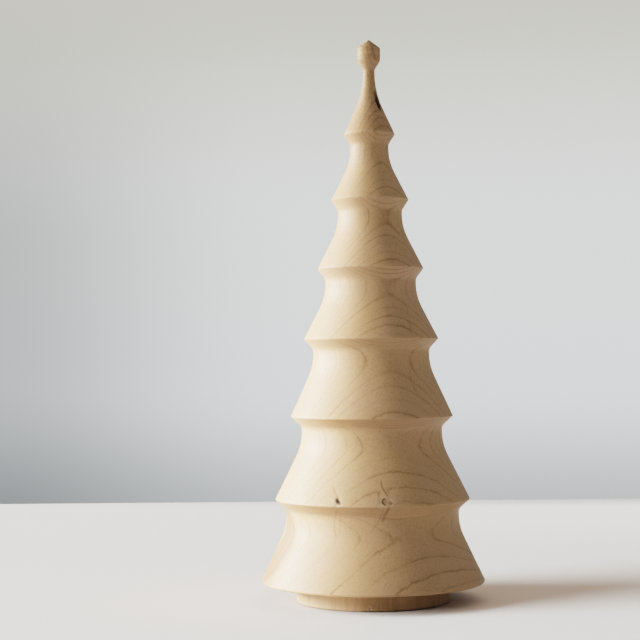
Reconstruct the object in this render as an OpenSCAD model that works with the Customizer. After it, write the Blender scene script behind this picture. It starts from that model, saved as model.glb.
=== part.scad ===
// A turned wooden tree: seven flared tiers under a bud-shaped finial, on a low round foot.
// Millimetres, +Z up. The origin is the centre of the base, on the surface that it stands on.

/* [Tree] */
// Largest radius of the bottom skirt
skirt_r = 50; // [47:0.5:53]
// Height of the skirt's flat underside
skirt_z = 8.7; // [8:0.1:10]
// Rounding of the skirt's lower corner
skirt_round = 0.8; // [0.5:0.1:1.5]
// Rounding of each ridge's edge
ridge_round = 0.4; // [0.2:0.1:0.8]

/* [Tier 1, the lowest] */
// Height of this tier's ridge above the skirt's lower corner
tier_1_h = 36.4; // [35:0.1:39]
// Radius of the ridge
ridge_1_r = 43.6; // [43.1:0.1:44.1]
// Radius of the neck under the ridge
neck_1_r = 38.7; // [38.2:0.1:39.2]

/* [Tier 2] */
// Height of this tier's ridge above the ridge below
tier_2_h = 37.0; // [36:0.1:40]
// Radius of the ridge
ridge_2_r = 36.4; // [35.9:0.1:36.9]
// Radius of the neck under the ridge
neck_2_r = 31.5; // [31.0:0.1:32.0]

/* [Tier 3] */
// Height of this tier's ridge above the ridge below
tier_3_h = 34.7; // [34:0.1:38]
// Radius of the ridge
ridge_3_r = 30.2; // [29.7:0.1:30.7]
// Radius of the neck under the ridge
neck_3_r = 26.1; // [25.6:0.1:26.6]

/* [Tier 4] */
// Height of this tier's ridge above the ridge below
tier_4_h = 31.6; // [31:0.1:35]
// Radius of the ridge
ridge_4_r = 23.8; // [23.3:0.1:24.3]
// Radius of the neck under the ridge
neck_4_r = 20.4; // [19.9:0.1:20.9]

/* [Tier 5] */
// Height of this tier's ridge above the ridge below
tier_5_h = 31.0; // [30.5:0.1:34]
// Radius of the ridge
ridge_5_r = 17.4; // [16.9:0.1:17.9]
// Radius of the neck under the ridge
neck_5_r = 14.4; // [13.9:0.1:14.9]

/* [Tier 6, the topmost] */
// Height of this tier's ridge above the ridge below
tier_6_h = 29.7; // [29:0.1:33]
// Radius of the ridge
ridge_6_r = 11.5; // [11.0:0.1:12.0]
// Radius of the neck under the ridge
neck_6_r = 8.6; // [8.1:0.1:9.1]

/* [Grooves] */
// Drop from the lowest ridge to its neck
low_neck_drop = 6.5; // [6:0.1:7.5]
// Drop from the topmost ridge to its neck
top_neck_drop = 5.9; // [5.5:0.1:6.5]
// Radius of the cove that cuts in under each ridge
cove_r = 3.5; // [2.5:0.5:4]
// Radius of the curve that flares out below each neck
flare_r = 25; // [18:1:26]

/* [Finial] */
// Radius of the finial's neck
finial_neck_r = 2.6; // [2.2:0.1:3]
// Height above the topmost ridge at which the neck starts to flare out
finial_neck_h = 28; // [27:0.5:28]
// Radius of the curve that flares out below the finial's neck
finial_flare_r = 39; // [34:1:40]
// Radius of the bud
bud_r = 5.2; // [4.6:0.1:6]
// Height above the topmost ridge at which the bud starts to curve in below
bud_h = 34.3; // [34:0.1:36]
// Height of the bud's shoulder above the topmost ridge
shoulder_h = 39.3; // [38:0.1:41]
// Height of the cone on top of the bud
tip_h = 3.8; // [2.5:0.1:6]

/* [Foot] */
// Radius of the foot
foot_r = 34.5; // [32:0.5:38]
// Rounding of the foot's edges
foot_round = 0.4; // [0.2:0.1:0.6]

/* [Dowel] */
// Diameter of the dowel that pins the foot to the tree
dowel_d = 12; // [8:0.5:14]
// Length of the dowel
dowel_len = 40; // [30:1:50]
// Chamfer of the dowel's ends
dowel_chamfer = 1; // [0.5:0.1:1.5]

/* [Felt pad] */
// Radius of the pad under the foot
felt_r = 30; // [20:0.5:30.5]
// Thickness of the pad
felt_t = 1; // [0.8:0.1:1.5]
// How far the pad stands out below the foot
felt_proud = 0.4; // [0.3:0.1:0.6]

/* [Hidden] */

$fn = 64;
// Furthest that an arc's chords may stray from the arc
chord_error = 0.05;
// Straight length at the bottom of each groove, between its cove and its flare
neck_flat = 0.5;
// Roundings of the bud, and how far below its curve the neck's own cove lies
shoulder_round = 0.4;
bud_round = 3;
bud_root_round = 1.5;
bud_root_drop = 5.5;
// Radial room for glue around the dowel, and the empty depth at each of its ends
glue_gap = 0.05;
dowel_end_gap = 0.5;
// Wood left between the pad's recess and the dowel's hole
foot_web = 1.7;
// Radial room around the pad
felt_gap = 0.2;

tier_heights = [tier_1_h, tier_2_h, tier_3_h, tier_4_h, tier_5_h, tier_6_h];
ridge_radii = [ridge_1_r, ridge_2_r, ridge_3_r, ridge_4_r, ridge_5_r, ridge_6_r];
neck_radii = [neck_1_r, neck_2_r, neck_3_r, neck_4_r, neck_5_r, neck_6_r];
top_tier = len(tier_heights) - 1;
corner_z = skirt_z + skirt_round;
hole_r = dowel_d / 2 + glue_gap;
hole_z = felt_t + foot_web;
hole_len = dowel_len + 2 * dowel_end_gap;

function lerp(a, b, t) = a + (b - a) * t;

// Tiers are counted from the lowest, 0.
function ridge_z(i) = tier_heights[i] + (i == 0 ? corner_z : ridge_z(i - 1));
function neck_z(i) = ridge_z(i) - lerp(low_neck_drop, top_neck_drop, i / top_tier);

// An outline is a chain of arcs joined by straight tangents. Each arc is [radius from the axis,
// height, own radius]. An own radius above 0 rounds a corner, below 0 hollows a cove, and 0 is
// sharp. A chain runs from the top of the axis, down the outside and back to the axis.
function tangent_normal(a, b) =
    let (run = [b[0] - a[0], b[1] - a[1]])
    atan2(run[1], run[0]) + acos((a[2] - b[2]) / norm(run));
function steps(own_r, sweep) = ceil(abs(sweep) / (2 * acos(1 - chord_error / abs(own_r))));
function arc_points(arc, start, end) =
    let (count = steps(arc[2], end - start))
    [for (k = [0:count])
        let (angle = lerp(start, end, k / count))
        [arc[0] + arc[2] * cos(angle), arc[1] + arc[2] * sin(angle)]];
function outline(chain) = [
    for (i = [0:len(chain) - 1])
        each chain[i][2] == 0
            ? [[chain[i][0], chain[i][1]]]
            : arc_points(chain[i],
                         tangent_normal(chain[i - 1], chain[i]),
                         tangent_normal(chain[i], chain[i + 1]))
];

function finial(base_z) = [
    [0, base_z + shoulder_h + tip_h, 0],
    [bud_r - shoulder_round, base_z + shoulder_h - shoulder_round, shoulder_round],
    [bud_r - bud_round, base_z + bud_h, bud_round],
    [finial_neck_r + bud_root_round, base_z + bud_h - bud_root_drop, -bud_root_round],
    [finial_neck_r + finial_flare_r, base_z + finial_neck_h, -finial_flare_r]
];

// One ridge with the cove below it and the flare that leads to the next ridge down.
function tier(i) = [
    [ridge_radii[i] - ridge_round, ridge_z(i), ridge_round],
    [neck_radii[i] + cove_r, neck_z(i) + neck_flat / 2, -cove_r],
    [neck_radii[i] + flare_r, neck_z(i) - neck_flat / 2, -flare_r]
];

module tree_body() {
    tiers = [for (i = [top_tier:-1:0]) each tier(i)];
    skirt = [
        [skirt_r - skirt_round, corner_z, skirt_round],
        [0, skirt_z, 0]
    ];
    color([0.82, 0.7, 0.55])
        difference() {
            rotate_extrude()
                polygon(outline(concat(finial(ridge_z(top_tier)), tiers, skirt)));
            translate([0, 0, hole_z])
                cylinder(r = hole_r, h = hole_len);
        }
}

module foot() {
    bottom_z = felt_proud;
    recess_r = felt_r + felt_gap;
    edge = [
        [0, skirt_z, 0],
        [foot_r - foot_round, skirt_z - foot_round, foot_round],
        [foot_r - foot_round, bottom_z + foot_round, foot_round],
        [recess_r, bottom_z, 0],
        [recess_r, felt_t, 0],
        [0, felt_t, 0]
    ];
    color([0.66, 0.53, 0.39])
        difference() {
            rotate_extrude()
                polygon(outline(edge));
            translate([0, 0, hole_z])
                cylinder(r = hole_r, h = hole_len);
        }
}

module centre_dowel() {
    r = dowel_d / 2;
    bottom_z = hole_z + dowel_end_gap;
    top_z = bottom_z + dowel_len;
    color([0.86, 0.74, 0.58])
        rotate_extrude()
            polygon([
                [0, bottom_z],
                [r - dowel_chamfer, bottom_z],
                [r, bottom_z + dowel_chamfer],
                [r, top_z - dowel_chamfer],
                [r - dowel_chamfer, top_z],
                [0, top_z]
            ]);
}

module felt_pad() {
    color([0.2, 0.21, 0.2])
        cylinder(r = felt_r, h = felt_t);
}

tree_body();
foot();
centre_dowel();
felt_pad();
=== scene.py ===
"""Looks for a turned wooden tree: seven flared tiers under a bud finial, on a low foot.

The CAD frame gives the object's outlines and sizes. Shapes are in metres, +Z up, and the viewer's side is -Y.
Materials measure in millimetres, because wood grain is easiest to read that way.
"""

import math

import bpy
import numpy as np
from mathutils import Matrix, Vector, noise


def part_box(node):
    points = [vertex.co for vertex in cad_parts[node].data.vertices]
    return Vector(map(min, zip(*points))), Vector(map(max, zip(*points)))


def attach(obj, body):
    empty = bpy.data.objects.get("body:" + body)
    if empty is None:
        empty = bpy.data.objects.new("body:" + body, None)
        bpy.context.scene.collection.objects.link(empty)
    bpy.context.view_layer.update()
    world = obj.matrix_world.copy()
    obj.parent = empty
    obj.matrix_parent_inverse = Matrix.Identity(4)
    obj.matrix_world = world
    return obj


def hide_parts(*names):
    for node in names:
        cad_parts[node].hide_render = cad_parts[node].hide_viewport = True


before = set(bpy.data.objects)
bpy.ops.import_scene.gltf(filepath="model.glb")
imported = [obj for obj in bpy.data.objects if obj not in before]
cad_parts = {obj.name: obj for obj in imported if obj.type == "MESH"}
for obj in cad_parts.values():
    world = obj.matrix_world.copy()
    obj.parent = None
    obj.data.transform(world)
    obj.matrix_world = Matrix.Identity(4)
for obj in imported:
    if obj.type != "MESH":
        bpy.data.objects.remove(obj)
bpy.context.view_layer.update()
MM = 0.001
# Radial room between the felt and the edge of its recess
FELT_GAP = 0.2 * MM

TREE_LOW, TREE_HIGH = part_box("tree_body")
FOOT_LOW, FOOT_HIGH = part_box("foot")
DOWEL_LOW, DOWEL_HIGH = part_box("centre_dowel")
FELT_LOW, FELT_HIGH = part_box("felt_pad")


# ---------------------------------------------------------------- outlines from the frame

def cad_profile(node):
    """The distinct (radius, height) pairs of a CAD node's vertices, in metres."""
    points = np.array([vertex.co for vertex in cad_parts[node].data.vertices])
    pairs = np.c_[np.hypot(points[:, 0], points[:, 1]), points[:, 2]]
    return np.unique(np.round(pairs, 5), axis=0)


def corners(points):
    """The same outline without the points that lie on a straight line between neighbours."""
    kept = [points[0]]
    for before, here, after in zip(points, points[1:], points[2:]):
        first = (here - before) / np.hypot(*(here - before))
        second = (after - here) / np.hypot(*(after - here))
        if abs(first[0] * second[1] - first[1] * second[0]) > 0.004:
            kept.append(here)
    kept.append(points[-1])
    return np.array(kept)


def tangents(legs, lengths):
    """The direction of a smooth curve at each corner of an outline made of these legs."""
    units = legs / lengths[:, None]
    directions = [units[0]]
    for i in range(1, len(units)):
        blend = units[i - 1] * lengths[i - 1] + units[i] * lengths[i]
        directions.append(blend / np.hypot(*blend))
    directions.append(units[-1])
    return directions


def smooth_run(points, step, turn):
    """Points along a smooth curve through an outline, no further apart than step or turn."""
    points = corners(np.array(points))
    legs = np.diff(points, axis=0)
    lengths = np.hypot(legs[:, 0], legs[:, 1])
    directions = tangents(legs, lengths)
    run = [points[0]]
    for i, length in enumerate(lengths):
        bend = math.acos(np.clip(np.dot(directions[i], directions[i + 1]), -1, 1))
        count = max(1, math.ceil(length / step), math.ceil(bend / turn))
        for k in range(1, count + 1):
            t = k / count
            leave = t * (1 - t) ** 2 * length * directions[i]
            arrive = t * t * (t - 1) * length * directions[i + 1]
            run.append(points[i] + leave + t * t * (3 - 2 * t) * legs[i] + arrive)
    return run


def tree_outline():
    """From the finial's tip down the outside, across the underside and up the dowel's bore."""
    points = cad_profile("tree_body")
    inside = (points[:, 0] < DOWEL_HIGH.x + MM) & (points[:, 1] < DOWEL_HIGH.z + 2 * MM)
    bore_radius = points[inside][:, 0].max()
    bore_top = points[inside][:, 1].max()
    outside = points[~inside]
    outside = outside[np.argsort(-outside[:, 1])]
    bore = [(bore_radius, TREE_LOW.z), (bore_radius, bore_top), (0, bore_top)]
    return smooth_run(outside, 1.2 * MM, math.radians(12)) + bore


def foot_outline():
    """From the dowel's blind hole over the top, down the edge and in to the felt's recess."""
    points = cad_profile("foot")
    hole = points[points[:, 0] < DOWEL_HIGH.x + MM]
    recess = points[abs(points[:, 0] - FELT_HIGH.x - FELT_GAP) < 0.3 * MM]
    edge = points[points[:, 0] > FELT_HIGH.x + 2 * MM]
    edge = edge[np.argsort(-edge[:, 1])]
    floor = hole[:, 1].min()
    roof = recess[:, 1].max()
    start = [(0, floor), (hole[:, 0].max(), floor), (hole[:, 0].max(), FOOT_HIGH.z)]
    end = [(recess[0, 0], recess[:, 1].min()), (recess[0, 0], roof), (0, roof)]
    return start + smooth_run(edge, 0.6 * MM, math.radians(15)) + end


def ridge_heights(outline):
    """The heights at which the outside of the tree swells to a ridge, in metres."""
    skin = np.array(outline[:-3])[::-1]
    near = 4 * MM
    peaks = []
    for radius, height in skin:
        around = skin[abs(skin[:, 1] - height) <= near]
        sides = np.interp([height - near, height + near], skin[:, 1], skin[:, 0])
        if radius == around[:, 0].max() and radius - sides.max() > 0.5 * MM:
            peaks.append(height)
    return peaks


# ---------------------------------------------------------------- turned meshes

def ring_angles(fine_from, fine_to, fine_step, coarse_step):
    """Angles round the axis in radians, closer together over one sector."""
    rest = 360 - (fine_to - fine_from)
    count = round(rest / coarse_step)
    fine = np.arange(fine_from, fine_to, fine_step)
    return np.radians(np.concatenate([fine, fine_to + np.arange(count) * rest / count]))


def lathe(name, outline, angles, change):
    """A closed mesh turned about Z, from an outline that starts and ends on the axis.

    change(radius, height, angles) gives how far each point of a ring moves outward.
    """
    count = len(angles)
    vertices = [(0, 0, outline[0][1])]
    for radius, height in outline[1:-1]:
        radii = radius + change(radius, height, angles)
        vertices += zip(radii * np.cos(angles), radii * np.sin(angles), [height] * count)
    vertices.append((0, 0, outline[-1][1]))
    last = len(vertices) - 1
    faces = []
    for k in range(count):
        after = (k + 1) % count
        faces.append((0, 1 + k, 1 + after))
        for ring in range(len(outline) - 3):
            upper = 1 + ring * count
            lower = upper + count
            faces.append((upper + k, lower + k, lower + after, upper + after))
        faces.append((last - count + after, last - count + k, last))
    mesh = bpy.data.meshes.new(name)
    mesh.from_pydata(vertices, [], faces)
    mesh.shade_smooth()
    mesh.set_sharp_from_angle(angle=math.radians(55))
    piece = bpy.data.objects.new(name, mesh)
    bpy.context.scene.collection.objects.link(piece)
    return piece


def dent(radius, height, angles, place, size, depth):
    """A soft hollow centred on place, an (angle in degrees, height) pair."""
    turn = np.remainder(angles - math.radians(place[0]) + math.pi, 2 * math.pi) - math.pi
    away = (turn * radius / size[0]) ** 2 + ((height - place[1]) / size[1]) ** 2
    return -depth * np.exp(-away)


# Where the marks are: (angle in degrees, height in metres). 0 is +X, and -90 faces the viewer.
LEFT_KNOT = (-112, 48 * MM)
RIGHT_KNOT = (-87, 48 * MM)
RIGHT_KNOT_SIDE = (-82, 47.5 * MM)
BARK_POCKET = (-41, 223.5 * MM)
FOOT_CHIP = (-94.5, 1.2 * MM)
# Each hollow in the tree: its place, its size (across, up) and its depth.
HOLLOWS = (
    (LEFT_KNOT, (1.0 * MM, 1.2 * MM), 0.3 * MM),
    (RIGHT_KNOT, (0.8 * MM, 1.3 * MM), 0.25 * MM),
    (RIGHT_KNOT_SIDE, (0.8 * MM, 1.3 * MM), 0.2 * MM),
    (BARK_POCKET, (1.4 * MM, 3.2 * MM), 0.35 * MM),
)
# How far from a ridge's edge it is worn, and the most that the wear takes off
WORN_REACH = 1.2 * MM
WORN_DEPTH = 0.25 * MM


def rough(angles, radius, height, cell):
    """Smooth noise from -1 to 1 over the surface, with lumps about cell across."""
    points = np.c_[radius * np.cos(angles), radius * np.sin(angles), np.full(len(angles), height)]
    return np.array([noise.noise(Vector(point / cell)) for point in points])


def tree_change(radius, height, angles):
    """Hand-turned wood is never perfectly round: wobble, worn ridges, knots and a bark pocket."""
    if radius < DOWEL_HIGH.x + MM and height < DOWEL_HIGH.z + 2 * MM:
        return np.zeros(len(angles))
    slack = 0.05 * MM * min(1, radius / (12 * MM))
    move = slack * (rough(angles, radius, height, 30 * MM) - 1)
    nearest = min(abs(height - ridge) for ridge in RIDGES)
    if nearest < WORN_REACH:
        worn = np.maximum(0, rough(angles, radius, height, 2.2 * MM) - 0.15)
        move -= WORN_DEPTH * worn * (1 - nearest / WORN_REACH)
    for place, size, depth in HOLLOWS:
        move += dent(radius, height, angles, place, size, depth)
    return move


TREE_OUTLINE = tree_outline()
RIDGES = ridge_heights(TREE_OUTLINE)


def foot_change(radius, height, angles):
    """A slight wobble, and the small chip at the front of the foot's lower edge."""
    if radius < FELT_HIGH.x + MM:
        return np.zeros(len(angles))
    move = 0.04 * MM * (rough(angles, radius, height, 25 * MM) - 1)
    return move + dent(radius, height, angles, FOOT_CHIP, (0.9 * MM, 0.8 * MM), 0.25 * MM)


def dowel_change(radius, height, angles):
    """Glue flutes, left off at the chamfered ends."""
    flutes = 16
    depth = 0.3 * MM
    inset = min(height - DOWEL_LOW.z, DOWEL_HIGH.z - height)
    if inset < 1.5 * MM:
        return np.zeros(len(angles))
    return -depth * (0.5 + 0.5 * np.cos(flutes * angles)) ** 2


def felt_change(radius, height, angles):
    """The cut edge of felt is slightly furry."""
    if radius < FELT_HIGH.x - 0.6 * MM:
        return np.zeros(len(angles))
    return 0.12 * MM * (rough(angles, radius, height, 1.4 * MM) - 1)


def dowel_outline():
    """A plain dowel with chamfered ends."""
    radius = DOWEL_HIGH.x
    run = [(0, DOWEL_HIGH.z), (radius - MM, DOWEL_HIGH.z), (radius, DOWEL_HIGH.z - MM)]
    for share in (0.06, 0.1, 0.3, 0.5, 0.7, 0.9, 0.94):
        run.append((radius, DOWEL_HIGH.z + share * (DOWEL_LOW.z - DOWEL_HIGH.z)))
    return run + [(radius, DOWEL_LOW.z + MM), (radius - MM, DOWEL_LOW.z), (0, DOWEL_LOW.z)]


def felt_outline():
    """A disc of felt with softly pressed faces."""
    radius = FELT_HIGH.x
    middle = FELT_HIGH.z / 2
    edge = 0.3 * MM
    run = [(0, FELT_HIGH.z)]
    for share in (0.15, 0.3, 0.45, 0.6, 0.75, 0.9):
        run.append((radius * share, FELT_HIGH.z))
    for step in range(7):
        turn = math.radians(90 - 30 * step)
        run.append((radius - edge + edge * math.cos(turn), middle + middle * math.sin(turn)))
    for share in (0.9, 0.6, 0.3):
        run.append((radius * share, FELT_LOW.z))
    return run + [(0, FELT_LOW.z)]


# ---------------------------------------------------------------- material tools

class Paint:
    """Short calls for building one material's nodes."""

    def __init__(self, name):
        self.material = bpy.data.materials.new(name)
        self.material.use_nodes = True
        self.tree = self.material.node_tree
        self.shader = self.tree.nodes["Principled BSDF"]

    def put(self, kind, **settings):
        """Adds a node and sets its options."""
        node = self.tree.nodes.new("ShaderNode" + kind)
        for name, value in settings.items():
            setattr(node, name, value)
        return node

    def feed(self, socket, value):
        """Joins a socket to another node's output, or sets it."""
        if isinstance(value, bpy.types.NodeSocket):
            self.tree.links.new(value, socket)
        else:
            socket.default_value = value

    def math(self, operation, *values):
        node = self.put("Math", operation=operation)
        for socket, value in zip(node.inputs, values):
            self.feed(socket, value)
        return node.outputs[0]

    def vector(self, operation, *values):
        node = self.put("VectorMath", operation=operation)
        for socket, value in zip(node.inputs, values):
            self.feed(socket, value)
        return node.outputs["Value" if operation in ("DISTANCE", "LENGTH") else "Vector"]

    def scaled(self, place, scale):
        """Coordinates stretched by a different factor along each axis."""
        return self.vector("MULTIPLY", place, scale)

    def fade(self, value, full, none, strength=1.0):
        """strength where value is full, falling smoothly to 0 where it is none."""
        node = self.put("MapRange", interpolation_type="SMOOTHSTEP")
        for socket, setting in zip(node.inputs, (value, full, none, strength, 0.0)):
            self.feed(socket, setting)
        return node.outputs[0]

    def noise(self, place, scale=1.0, detail=2.0, roughness=0.5):
        """Noise around 0.5. scale is in lumps per millimetre."""
        node = self.put("TexNoise")
        self.feed(node.inputs["Vector"], place)
        node.inputs["Scale"].default_value = scale
        node.inputs["Detail"].default_value = detail
        node.inputs["Roughness"].default_value = roughness
        return node.outputs["Fac"]

    def swing(self, fac, size):
        """Noise turned into a change from -size to size, about."""
        return self.math("MULTIPLY_ADD", fac, 4 * size, -2 * size)

    def total(self, *values):
        result = values[0]
        for value in values[1:]:
            result = self.math("ADD", result, value)
        return result

    def product(self, *values):
        result = values[0]
        for value in values[1:]:
            result = self.math("MULTIPLY", result, value)
        return result

    def strongest(self, *values):
        result = values[0]
        for value in values[1:]:
            result = self.math("MAXIMUM", result, value)
        return result

    def mix(self, share, first, second):
        """A colour between first and second."""
        node = self.put("Mix", data_type="RGBA", clamp_factor=True)
        self.feed(node.inputs[0], share)
        self.feed(node.inputs[6], first)
        self.feed(node.inputs[7], second)
        return node.outputs[2]

    def bump(self, height, distance):
        """Small relief, in millimetres of height."""
        node = self.put("Bump")
        node.inputs["Strength"].default_value = 1.0
        node.inputs["Distance"].default_value = distance * MM
        self.feed(node.inputs["Height"], height)
        self.feed(self.shader.inputs["Normal"], node.outputs[0])

    def place(self):
        """Where a point is on the object, in millimetres."""
        where = self.put("TexCoord").outputs["Object"]
        return self.scaled(where, (1000.0, 1000.0, 1000.0))

    def root(self, *values):
        """The square root of the sum of the squares."""
        squares = [self.math("MULTIPLY", value, value) for value in values]
        return self.math("SQRT", self.total(*squares))

    def shifted(self, value, scale, shift):
        """value times scale, plus shift."""
        return self.math("MULTIPLY_ADD", value, scale, shift)

    def near(self, value, middle, full, none, strength=1.0):
        """strength where value is within full of middle, falling to 0 at none from it."""
        away = self.math("ABSOLUTE", self.math("SUBTRACT", value, middle))
        return self.fade(away, full, none, strength)

    def joined(self, *values):
        """Three numbers as one vector."""
        node = self.put("CombineXYZ")
        for socket, value in zip(node.inputs, values):
            self.feed(socket, value)
        return node.outputs[0]

    def split(self, vector):
        node = self.put("SeparateXYZ")
        self.feed(node.inputs[0], vector)
        return node.outputs


# ---------------------------------------------------------------- maple for the tree

PALE = (0.75, 0.465, 0.24, 1)
BROWN = (0.42, 0.235, 0.105, 1)
PINK_PALE = (0.76, 0.455, 0.27, 1)
PINK_BROWN = (0.42, 0.225, 0.12, 1)
# Paler pink mixed into faces that look down: painted bounce light from the table, not the wood's own colour.
PAINTED_BOUNCE_LIGHT = (0.78, 0.53, 0.36, 1)
HALO = (0.74, 0.50, 0.31, 1)
KNOT = (0.035, 0.02, 0.012, 1)
TRAIL = (0.20, 0.105, 0.05, 1)
GOLD = (0.50, 0.26, 0.095, 1)
LATE_WOOD = (0.36, 0.185, 0.075, 1)

# Distance between growth lines, in mm
RING_STEP = 1.5
# Where the log's heart lies, in mm, as curves (square, slope, middle) of height. Both are for
# a height counted in tenths of a metre from HEART_MIDDLE.
HEART_MIDDLE = 119.5
HEART_X = (-6.1, -9.85, -8.7)
HEART_Y = (-10.7, 12.3, 28.9)

# Centres of the painted marks on the front, in mm. The knots' are (x, z), the pocket's (x, y, z).
LEFT_EYE = (-16.0, 48.0)
RIGHT_EYE = (4.0, 48.0)
RIGHT_BLOT = (6.3, 47.4)
POCKET = (4.1, -3.6, 223.5)


class Maple(Paint):
    """The tree's wood. Each method gives one feature's strength or colour over the surface."""

    def __init__(self):
        super().__init__("pale_maple")
        self.at = self.place()
        self.x, self.y, self.z = self.split(self.at)
        self.front = self.fade(self.y, -20.0, -10.0)
        self.ragged = self.swing(self.noise(self.at, 1.1, 2.0), 0.22)
        self.slope = self.split(self.put("NewGeometry").outputs["Normal"])[2]
        self.left = self.root(*self.from_place(LEFT_EYE))
        self.right = self.root(*self.from_place(RIGHT_EYE))

    def from_place(self, eye):
        """How far a point is across and up from an (x, z) place."""
        return self.math("SUBTRACT", self.x, eye[0]), self.math("SUBTRACT", self.z, eye[1])

    def spot(self, distance, full, none, strength):
        """A mark with a slightly ragged edge."""
        return self.fade(self.total(distance, self.ragged), full, none, strength)

    def along(self, height, curve):
        """A curve (square, slope, middle) of height."""
        return self.shifted(self.shifted(height, curve[0], curve[1]), height, curve[2])

    def heart(self):
        """Distance in mm from the log's heart, wavering slightly and reduced near the knots."""
        height = self.shifted(self.z, 0.01, -0.01 * HEART_MIDDLE)
        distance = self.root(self.math("SUBTRACT", self.x, self.along(height, HEART_X)),
                             self.math("SUBTRACT", self.y, self.along(height, HEART_Y)))
        wave = self.swing(self.noise(self.at, 0.08, 1.0), 0.12)
        ripple = self.swing(self.noise(self.scaled(self.at, (1, 1, 0.4)), 0.3, 2.0), 0.07)
        waver = self.swing(self.noise(self.at, 0.7, 1.0), 0.05)
        lift = self.total(self.fade(self.left, 0.0, 6.0, 1.2), self.fade(self.right, 0.0, 6.0, 1.2))
        return self.math("SUBTRACT", self.total(distance, wave, ripple, waver),
                         self.product(lift, self.front))

    def growth_lines(self, heart):
        """Evenly spaced thin lines of late wood, each with a soft side towards the heart."""
        half = RING_STEP / 2
        past = self.math("WRAP", self.shifted(heart, 1.0, 0.5), half, -half)
        width = self.shifted(self.fade(self.z, 130.0, 20.0), 0.14, 0.14)
        crisp = self.fade(self.math("ABSOLUTE", past), 0.02, width)
        soft = self.product(self.fade(past, -0.1, -0.7, 0.14), self.fade(past, 0.0, 0.15))
        year = self.joined(self.shifted(heart, 0.45, 0.0), self.shifted(self.z, 0.02, 0.0), 3.0)
        clear = self.shifted(self.fade(self.noise(year, 1.0, 1.0), 0.62, 0.38), 0.75, 0.2)
        broken = self.fade(self.noise(self.at, 0.16, 3.0, 0.6), 0.66, 0.36)
        return self.product(self.strongest(crisp, soft), clear, self.shifted(broken, 0.6, 0.4))

    def stroke(self, upper, lower, bow, strength, width):
        """A thin mark on the front between two (x, z) ends, bowed by bow at its middle."""
        drop = upper[1] - lower[1]
        share = self.shifted(self.z, -1 / drop, upper[1] / drop)
        curve = self.product(share, self.shifted(share, -4.0, 4.0))
        line = self.total(self.shifted(share, lower[0] - upper[0], upper[0]),
                          self.product(curve, bow))
        mark = self.near(self.x, line, width * 0.2, width)
        facing = self.fade(self.y, -4.0, -1.0)
        return self.product(mark, facing, self.fade(curve, 0.6, 0.0, strength))

    def gold_lines(self):
        """Fine golden lines that run up and down from the left knot."""
        return self.strongest(
            self.stroke((-18.5, 55), (-15, 48.5), -0.5, 0.7, 0.5),
            self.stroke((-15.5, 46), (-16.5, 31), -1.5, 0.5, 0.5),
            self.stroke((-15.5, 45), (-16.5, 31), 1.0, 0.35, 0.4),
        )

    def brown_lines(self):
        """Soft brown trails above and below the right knot, and two streaks higher up."""
        return self.strongest(
            self.stroke((2.5, 57), (6, 49.5), -1.0, 0.55, 0.6),
            self.stroke((6, 46.5), (2.5, 38.5), 0.0, 0.4, 1.1),
            self.stroke((3.5, 45.5), (-3, 33.5), 1.0, 0.22, 0.6),
            self.stroke((15, 133), (17.5, 116), 0.0, 0.15, 0.45),
            self.stroke((16.5, 104), (21, 92), -2.0, 0.2, 0.45),
        )

    def old_band(self, heart):
        """A streaky tan band low on the left, which runs on round to the back."""
        band = self.shifted(self.z, 0.17, heart)
        streaks = self.fade(self.math("PINGPONG", band, 0.6), 0.05, 0.3, 0.5)
        across = self.product(self.fade(band, 46.8, 48.4), self.fade(band, 44.4, 42.6))
        reach = self.product(self.fade(self.z, 40.0, 60.0), self.fade(self.x, -30.0, -15.0))
        return self.product(self.total(streaks, 0.75), across, reach)

    def fibre(self):
        """Fine lengthwise fibre."""
        return self.swing(self.noise(self.scaled(self.at, (1, 1, 0.07)), 1.9, 3.0, 0.6), 0.13)

    def texture(self):
        """Clouds, mottle, speckle and dark flecks."""
        cloud = self.swing(self.noise(self.scaled(self.at, (1, 1, 0.35)), 0.055, 3.0), 0.06)
        mottle = self.swing(self.noise(self.at, 0.35, 2.0), 0.05)
        speckle = self.swing(self.noise(self.scaled(self.at, (1, 1, 0.7)), 1.6, 2.0, 0.8), 0.46)
        flecks = self.noise(self.scaled(self.at, (1, 1, 0.3)), 1.3, 1.0)
        return self.total(cloud, mottle, speckle, self.fade(flecks, 0.74, 0.64, 0.14))

    def tone(self, heart, fibre):
        """How brown the wood is, from 0, pale, to 1, brown. Ridge edges are paler, partly from rubbing and
        partly as a painted highlight, and a thin line just under each ridge is browner as painted shade.
        """
        near_top = self.fade(self.z, 214.0, 190.0, 0.32)
        end_grain = self.fade(self.slope, 0.9, 0.4, 0.12)
        # The ridge mark: a paler edge that is partly rubbing and partly a painted highlight, with a line of
        # painted shade just below it.
        rub_and_painted_light = self.put("Attribute", attribute_name="ridge_rub_and_painted_light").outputs["Fac"]
        patchiness = self.total(self.swing(self.noise(self.at, 0.5, 2.0), 0.25), 0.9)
        plain = self.total(self.texture(), fibre, self.old_band(heart), near_top, end_grain, 0.05)
        return self.math("SUBTRACT", plain, self.product(rub_and_painted_light, patchiness))

    def plain_colour(self, tone, lines):
        """The wood's colour before its knots: pinker in places, with its growth lines, and paler and pinker
        on faces that look down, as painted bounce light from the table.
        """
        colour = self.mix(tone, PALE, BROWN)
        blush = self.fade(self.noise(self.at, 0.04, 2.0), 0.62, 0.40, 0.5)
        colour = self.mix(blush, colour, self.mix(tone, PINK_PALE, PINK_BROWN))
        # Faces that look down are mixed towards a paler pink: painted bounce light from the table below.
        colour = self.mix(self.fade(self.slope, -0.7, -0.1, 0.15), colour, PAINTED_BOUNCE_LIGHT)
        return self.mix(self.product(lines, 0.65), colour, LATE_WOOD)

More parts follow.
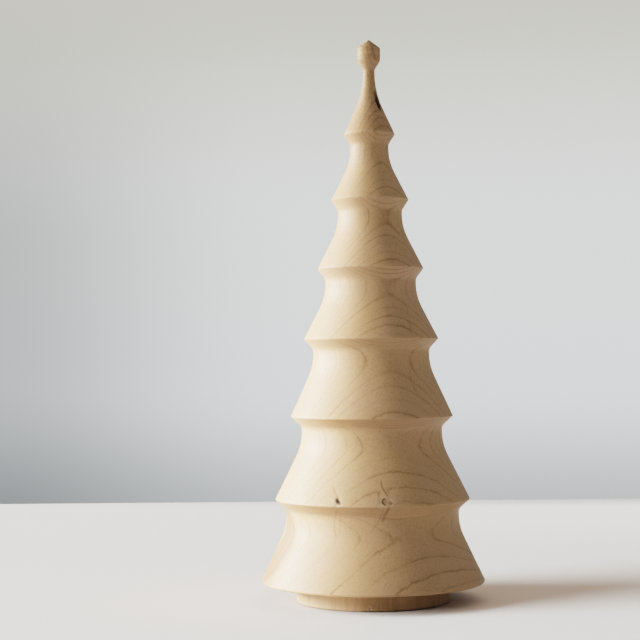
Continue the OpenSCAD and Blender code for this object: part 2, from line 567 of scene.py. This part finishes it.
    def left_oval(self):
        """Distance from the left knot, a leaning oval."""
        across, up = self.from_place(LEFT_EYE)
        return self.root(self.shifted(self.shifted(up, 0.35, across), 1.15, 0.0),
                         self.shifted(up, 0.85, 0.0))

    def to_pocket(self, stretch, lowered):
        """Distance from the bark pocket, a long slanting oval."""
        drop = self.math("SUBTRACT", self.z, POCKET[2])
        return self.root(self.shifted(drop, 0.25, self.math("SUBTRACT", self.x, POCKET[0])),
                         self.shifted(drop, -0.2, self.math("SUBTRACT", self.y, POCKET[1])),
                         self.shifted(drop, stretch, lowered))

    def right_plug(self):
        """The right knot: a dark hook and a fainter middle round its eye, and a blot beside it."""
        across = self.from_place(RIGHT_EYE)[0]
        ring = self.total(self.right, self.ragged)
        hook = self.product(self.fade(across, -0.4, 0.9, 0.8), self.near(ring, 1.1, 0.15, 0.6))
        side = self.spot(self.root(*self.from_place(RIGHT_BLOT)), 0.4, 1.1, 0.5)
        return self.strongest(hook, side, self.near(ring, 0.5, 0.1, 0.35, 0.35))

    def marked(self, colour, plug):
        """The colour with pale halos, golden and brown trails, brown rims and black plugs."""
        halo = self.strongest(self.fade(self.left, 2.2, 4.2, 0.5), self.fade(self.right, 2.6, 4.4, 0.45))
        colour = self.mix(self.product(halo, self.front), colour, HALO)
        colour = self.mix(self.gold_lines(), colour, GOLD)
        rim = self.product(self.spot(self.left_oval(), 0.9, 1.7, 0.7), self.front)
        bark = self.spot(self.to_pocket(0.3, -0.35), 1.0, 1.8, 0.85)
        colour = self.mix(self.strongest(rim, self.brown_lines(), bark), colour, TRAIL)
        return self.mix(plug, colour, KNOT)

    def plugs(self):
        """The black parts of the knots and of the bark pocket."""
        knots = self.strongest(self.spot(self.left_oval(), 0.5, 1.1, 0.9), self.right_plug())
        return self.strongest(self.product(knots, self.front),
                              self.spot(self.to_pocket(0.36, 0.0), 0.7, 1.5, 0.9))


def make_maple():
    wood = Maple()
    heart = wood.heart()
    lines = wood.growth_lines(heart)
    fibre = wood.fibre()
    plug = wood.plugs()
    colour = wood.plain_colour(wood.tone(heart, fibre), lines)
    wood.feed(wood.shader.inputs["Base Color"], wood.marked(colour, plug))
    wood.shader.inputs["Specular IOR Level"].default_value = 0.28
    gloss = wood.total(0.5, wood.swing(wood.noise(wood.at, 0.2, 2.0), 0.05))
    wood.feed(wood.shader.inputs["Roughness"], wood.shifted(plug, 0.2, gloss))
    tool = wood.noise(wood.scaled(wood.at, (0.02, 0.02, 1.0)), 1.4, 3.0, 0.6)
    relief = wood.shifted(tool, 0.6, wood.product(fibre, 2.0))
    wood.bump(wood.math("SUBTRACT", relief, wood.product(lines, 0.25)), 0.035)
    return wood.material


def foot_scratches(paint, place, colour):
    """A pale scuff with a dark speck, where the foot's lower edge is chipped."""
    chip = paint.vector("DISTANCE", paint.scaled(place, (1.0, 1.0, 0.7)), (-2.8, -34.3, 0.85))
    scratch = paint.noise(paint.scaled(place, (1.5, 1.0, 1.0)), 1.2, 1.0)
    scratch = paint.product(paint.fade(chip, 0.7, 1.6), paint.fade(scratch, 0.55, 0.48))
    colour = paint.mix(scratch, colour, (0.80, 0.64, 0.46, 1))
    return paint.mix(paint.fade(chip, 0.2, 0.6, 0.5), colour, (0.16, 0.08, 0.04, 1))


def make_foot_wood():
    paint = Paint("streaked_maple")
    place = paint.place()
    x, y, _ = paint.split(place)
    ripple = paint.swing(paint.noise(paint.scaled(place, (1, 1, 0.15)), 0.25, 3.0), 1.4)
    board = paint.total(paint.product(x, 0.95), paint.product(y, 0.3), ripple)
    lines = paint.fade(paint.math("PINGPONG", board, 1.3), 0.05, 0.4, 0.12)
    grain = paint.scaled(place, (1, 1, 0.1))
    fibre = paint.swing(paint.noise(grain, 1.3, 4.0, 0.75), 0.16)
    bands = paint.fade(paint.noise(grain, 0.3, 2.0), 0.66, 0.45, 0.22)
    speckle = paint.swing(paint.noise(place, 1.8, 2.0, 0.8), 0.16)
    tone = paint.total(lines, fibre, bands, speckle, 0.12)
    colour = paint.mix(tone, (0.68, 0.45, 0.26, 1), (0.34, 0.21, 0.115, 1))
    paint.feed(paint.shader.inputs["Base Color"], foot_scratches(paint, place, colour))
    paint.feed(paint.shader.inputs["Roughness"], paint.shifted(tone, 0.2, 0.5))
    paint.shader.inputs["Specular IOR Level"].default_value = 0.28
    paint.bump(paint.total(fibre, paint.product(lines, -0.6)), 0.06)
    return paint.material


def make_dowel_wood():
    paint = Paint("flecked_beech")
    place = paint.place()
    flecks = paint.noise(paint.scaled(place, (1, 1, 0.2)), 2.5, 2.0)
    fibre = paint.noise(paint.scaled(place, (1, 1, 0.06)), 1.6, 4.0, 0.7)
    tone = paint.total(paint.fade(flecks, 0.68, 0.58, 0.5), paint.swing(fibre, 0.3), 0.2)
    colour = paint.mix(tone, (0.62, 0.40, 0.24, 1), (0.40, 0.22, 0.12, 1))
    paint.feed(paint.shader.inputs["Base Color"], colour)
    paint.feed(paint.shader.inputs["Roughness"], paint.shifted(tone, 0.2, 0.55))
    paint.bump(fibre, 0.05)
    return paint.material


def make_felt():
    paint = Paint("pressed_felt")
    place = paint.place()
    hair = paint.noise(paint.scaled(place, (1.0, 0.35, 1.0)), 4.0, 4.0, 0.75)
    cross = paint.noise(paint.scaled(place, (0.3, 1.0, 1.0)), 3.4, 4.0, 0.75)
    tone = paint.total(paint.swing(hair, 0.35), paint.swing(cross, 0.35), 0.4)
    colour = paint.mix(tone, (0.10, 0.10, 0.105, 1), (0.24, 0.24, 0.25, 1))
    paint.feed(paint.shader.inputs["Base Color"], colour)
    paint.feed(paint.shader.inputs["Roughness"], paint.shifted(tone, 0.08, 0.88))
    paint.shader.inputs["Sheen Weight"].default_value = 0.3
    paint.shader.inputs["Sheen Roughness"].default_value = 0.6
    paint.bump(tone, 0.25)
    return paint.material


# ---------------------------------------------------------------- pieces

def add_ridge_rub_and_painted_light(piece):
    """Marks each ridge's edge as pale, partly rubbed and partly a painted highlight, and the line just under
    it as slightly darker, a painted shade.
    """
    rub_and_painted_light = piece.data.attributes.new("ridge_rub_and_painted_light", "FLOAT", "POINT")
    values = []
    for vertex in piece.data.vertices:
        above = min((vertex.co.z - ridge for ridge in RIDGES), key=abs) / MM
        # pale is the rubbed edge and a painted highlight; dark is painted shade under the ridge.
        pale = 0.34 * math.exp(-((above / 0.45) ** 2))
        dark = 0.10 * math.exp(-(((above + 0.9) / 0.4) ** 2))
        values.append(pale - dark)
    rub_and_painted_light.data.foreach_set("value", values)


def build(name, node, shape, material):
    """Makes a piece from its (outline, angles, change) and puts it in place of a CAD node."""
    piece = lathe(name, *shape)
    piece.data.materials.append(material)
    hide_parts(node)
    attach(piece, "root")
    return piece


FINE_FRONT = ring_angles(-126, -58, 0.8, 2.4)
EVEN = ring_angles(0, 1.5, 1.5, 1.5)

TREE_SHAPE = (TREE_OUTLINE, FINE_FRONT, tree_change)
FOOT_SHAPE = (foot_outline(), FINE_FRONT, foot_change)
DOWEL_SHAPE = (dowel_outline(), EVEN, dowel_change)
FELT_SHAPE = (felt_outline(), EVEN, felt_change)

tree = build("tree_turning", "tree_body", TREE_SHAPE, make_maple())
add_ridge_rub_and_painted_light(tree)
foot = build("foot_turning", "foot", FOOT_SHAPE, make_foot_wood())
dowel = build("fluted_dowel", "centre_dowel", DOWEL_SHAPE, make_dowel_wood())
felt = build("felt_disc", "felt_pad", FELT_SHAPE, make_felt())


# ---------------------------------------------------------------- stage

FILL_ABOVE = (0.215, 0.228, 0.245, 1)
FILL_BELOW = (0.37, 0.39, 0.42, 1)


def group(name, *objects):
    """A collection of objects that a light can be limited to."""
    made = bpy.data.collections.new(name)
    for member in objects:
        made.objects.link(member)
    return made


def add_surface(name, points, faces):
    """A flat mesh of the stage, which isn't part of the object."""
    mesh = bpy.data.meshes.new(name)
    mesh.from_pydata(points, [], faces)
    surface = bpy.data.objects.new(name, mesh)
    bpy.context.scene.collection.objects.link(surface)
    return surface


def table_colour(paint, place):
    """Pale grey, lighter towards the left and the back as a painted pool of light, and greyer at the far
    edge.
    """
    side, back, _ = paint.split(place)
    colour = paint.mix(paint.noise(place, 0.2, 3.0), (0.78, 0.78, 0.78, 1), (0.82, 0.82, 0.82, 1))
    # Painted light: the table is made lighter towards the back.
    colour = paint.mix(paint.fade(back, 370.0, 150.0, 0.8), colour, (0.95, 0.95, 0.95, 1))
    colour = paint.mix(paint.fade(back, 492.0, 425.0, 0.8), colour, (0.5, 0.52, 0.53, 1))
    # Painted light: the table is made lighter towards the left, the window's side.
    return paint.mix(paint.fade(side, -220.0, 200.0, 0.9), colour, (0.92, 0.92, 0.92, 1))


def add_floor():
    """A plain pale table top whose far edge is half a metre behind the tree.

    The camera and reflections see it, but it sends no diffuse light to the tree and casts no
    shadow: near_table lights the wood from below instead.
    """
    far = 0.49
    points = [(-3, -3, 0), (3, -3, 0), (3, far + 0.01, 0), (-3, far - 0.01, 0)]
    floor = add_surface("table_top", points, [(0, 1, 2, 3)])
    floor.visible_diffuse = False
    floor.visible_shadow = False
    paint = Paint("table_top")
    paint.feed(paint.shader.inputs["Base Color"], table_colour(paint, paint.place()))
    paint.shader.inputs["Roughness"].default_value = 0.7
    floor.data.materials.append(paint.material)
    return floor


def add_near_table():
    """A disc just under the table, hidden from the camera, that lights the wood above it.

    Its colour is painted light and shade: light on the window's side of the foot and dark on the other.
    """
    count = 64
    turns = [2 * math.pi * k / count for k in range(count)]
    points = []
    for radius in (0.001, 0.075):
        points += [(radius * math.cos(turn), radius * math.sin(turn), -0.0003) for turn in turns]
    faces = [(k, count + k, count + (k + 1) % count, (k + 1) % count) for k in range(count)]
    disc = add_surface("near_table", points, faces)
    disc.visible_camera = False
    disc.visible_glossy = False
    paint = Paint("near_table")
    # Painted shade: the disc turns dark away from the window and stands in for the table in the tree's
    # shadow.
    lit = paint.fade(paint.split(paint.place())[0], -18.0, 2.0)
    colour = paint.mix(lit, (0.15, 0.15, 0.15, 1), (0.8, 0.8, 0.8, 1))
    paint.feed(paint.shader.inputs["Base Color"], colour)
    paint.shader.inputs["Roughness"].default_value = 0.7
    disc.data.materials.append(paint.material)
    return disc


def add_light(name, kind, direction, power, falls_on, softness, colour=(1, 1, 1)):
    """A light placed towards (degrees left of the viewer, degrees up)."""
    data = bpy.data.lights.new(name, kind)
    data.energy = power
    data.color = colour
    lamp = bpy.data.objects.new(name, data)
    left = math.radians(direction[0])
    up = math.radians(direction[1])
    towards = Vector((-math.sin(left) * math.cos(up), -math.cos(left) * math.cos(up), math.sin(up)))
    lamp.rotation_mode = "QUATERNION"
    lamp.rotation_quaternion = towards.to_track_quat("Z", "Y")
    if kind == "SUN":
        data.angle = math.radians(softness)
    else:
        lamp.location = Vector((0, 0, 0.06)) + 0.72 * towards
        data.spot_size = math.radians(38)
        data.spot_blend = 1.0
        data.shadow_soft_size = softness
    bpy.context.scene.collection.objects.link(lamp)
    lamp.light_linking.receiver_collection = falls_on
    return lamp


class Room(Paint):
    """The same short calls, for the world's nodes."""

    def __init__(self, world):
        world.use_nodes = True
        self.tree = world.node_tree


def wall_colour(room, across, height):
    """A pale wall with painted light and shade: warm and a little darker at the top, cooler and darker low
    and left.
    """
    # The wall's shade is painted: darker low down, at the top and towards the left.
    low = room.fade(height, -0.105, -0.015, -0.38)
    top = room.fade(height, 0.23, 0.085, -0.25)
    shade = room.total(low, top, 0.865)
    left = room.product(room.fade(across, -0.21, -0.01), room.fade(height, 0.06, 0.26, 0.46))
    shade = room.product(shade, room.shifted(left, -1.0, 1.0))
    high = room.mix(room.fade(height, 0.22, 0.08), (1.0, 1.015, 1.02, 1), (1.02, 1.01, 0.89, 1))
    tint = room.mix(room.fade(height, -0.07, 0.06), high, (0.965, 1.01, 1.04, 1))
    return room.scaled(tint, room.joined(shade, shade, shade))


def add_room():
    """Even fill light, stronger from below, and a wall with painted shade that only the camera sees."""
    world = bpy.data.worlds.new("room")
    bpy.context.scene.world = world
    room = Room(world)
    nodes = room.tree.nodes
    across, _, height = room.split(room.put("TexCoord").outputs["Generated"])
    fill = nodes["Background"]
    below = room.fade(height, -0.15, 0.05)
    room.feed(fill.inputs["Color"], room.mix(below, FILL_ABOVE, FILL_BELOW))
    wall = room.put("Background")
    room.feed(wall.inputs["Color"], wall_colour(room, across, height))
    choose = room.put("MixShader")
    room.feed(choose.inputs[0], room.put("LightPath").outputs["Is Camera Ray"])
    room.feed(choose.inputs[1], fill.outputs[0])
    room.feed(choose.inputs[2], wall.outputs[0])
    room.feed(nodes["World Output"].inputs[0], choose.outputs[0])


def add_camera():
    """The photograph's viewpoint: level with the tree's middle, tilted and rolled very slightly."""
    data = bpy.data.cameras.new("camera")
    data.lens = 91.2
    data.sensor_width = 36
    data.clip_start = 0.01
    camera = bpy.data.objects.new("camera", data)
    place = Matrix.Translation((-0.02297, -0.7312, 0.11115))
    tilt = Matrix.Rotation(math.radians(90 + 1.183), 4, "X")
    roll = Matrix.Rotation(math.radians(-0.47), 4, "Z")
    camera.matrix_world = place @ tilt @ roll
    bpy.context.scene.collection.objects.link(camera)
    bpy.context.scene.camera = camera


floor = add_floor()
on_tree = group("lit_by_window", tree, foot, dowel, felt)
on_table = group("lit_table", floor, add_near_table())
add_light("window", "SUN", (105, 20), 2.5, on_tree, 40)
add_light("low_window", "SPOT", (105, 15), 50.0, on_tree, 0.12)
add_light("near_window", "SPOT", (75, 15), 20.0, on_tree, 0.12)
add_light("table_light", "SUN", (72, 20), 8.0, on_table, 40, (0.93, 0.98, 1.0))
add_light("warm_room", "SUN", (-60, 75), 0.76, on_table, 110, (1.0, 0.52, 0.14))
add_room()
add_camera()
bpy.context.scene.view_settings.view_transform = "Filmic"
bpy.context.scene.view_settings.look = "High Contrast"
